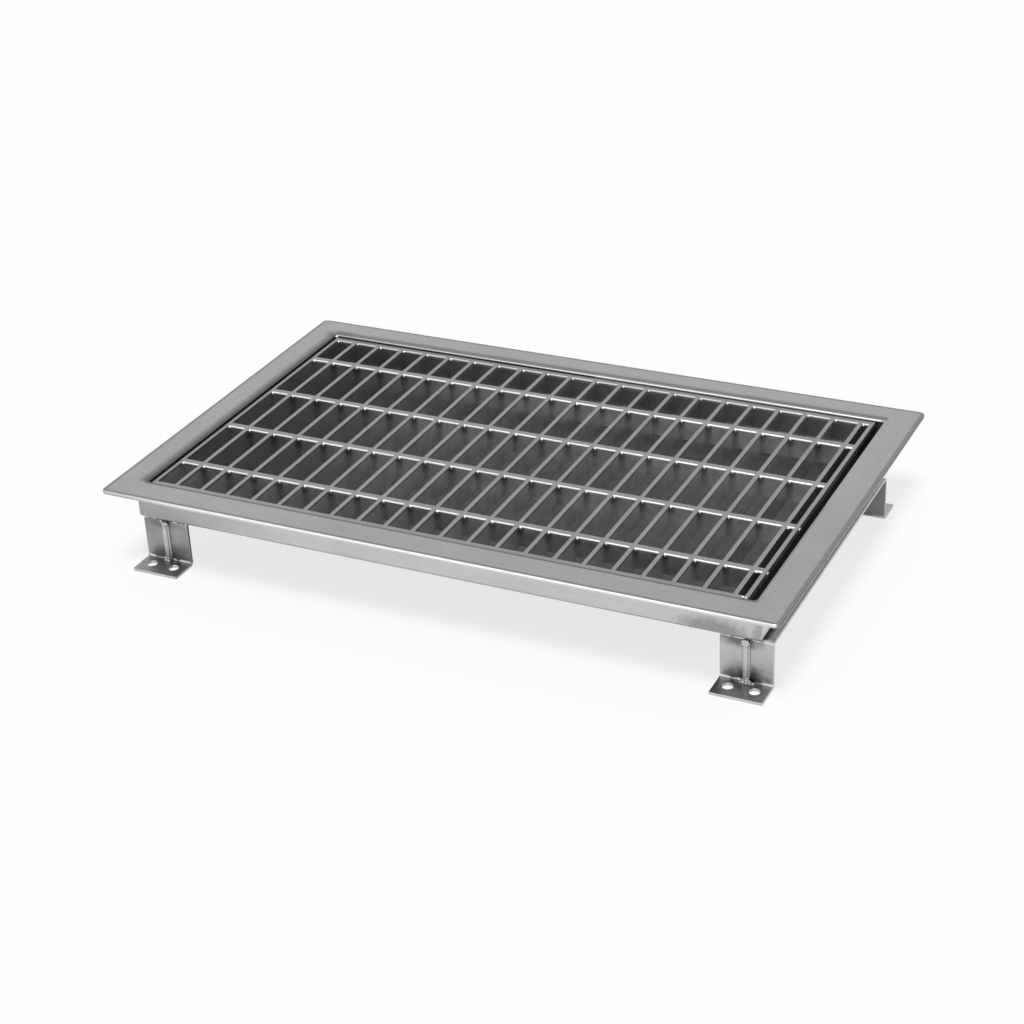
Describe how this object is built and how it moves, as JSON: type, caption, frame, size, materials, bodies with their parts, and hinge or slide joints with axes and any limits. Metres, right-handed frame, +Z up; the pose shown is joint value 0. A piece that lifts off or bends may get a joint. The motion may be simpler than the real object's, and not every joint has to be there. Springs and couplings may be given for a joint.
{
  "type": "steel grating panel in a raised frame",
  "caption": "Welded rectangular-mesh steel grating resting in a flanged stainless steel frame with a sheet floor, which stands on hat-shaped straps with drilled feet.",
  "frame": {"origin": "middle of the footprint, at floor level under the feet", "axes": "+X along the long side to the right, +Y from front to back, +Z up from the floor"},
  "size_m": [0.8, 0.508, 0.1055],
  "materials": {
    "flange_steel": "brushed stainless sheet, grain along each side",
    "frame_steel": "satin stainless sheet, bent",
    "seat_steel": "mill finish stainless angle",
    "grating_steel": "ground stainless bars, bright along the cross bars' edges",
    "pan_steel": "dull stainless sheet, lightly soiled",
    "strap_steel": "stainless flat bar with weld heat tint",
    "rib_steel": "drawn stainless round bar with weld heat tint"
  },
  "bodies": {
    "root": {"flange_plate": "flange_steel", "skirt_rail_front": "frame_steel", "skirt_rail_right": "frame_steel", "skirt_rail_back": "frame_steel", "skirt_rail_left": "frame_steel", "seat_angle_front": "seat_steel", "seat_angle_right": "seat_steel", "seat_angle_back": "seat_steel", "seat_angle_left": "seat_steel", "grating_panel": "grating_steel", "pan_floor": "pan_steel", "strap_left": "strap_steel", "strap_right": "strap_steel", "leg_rib_front_left": "rib_steel", "leg_rib_front_right": "rib_steel", "leg_rib_back_left": "rib_steel", "leg_rib_back_right": "rib_steel"}
  },
  "joints": []
}
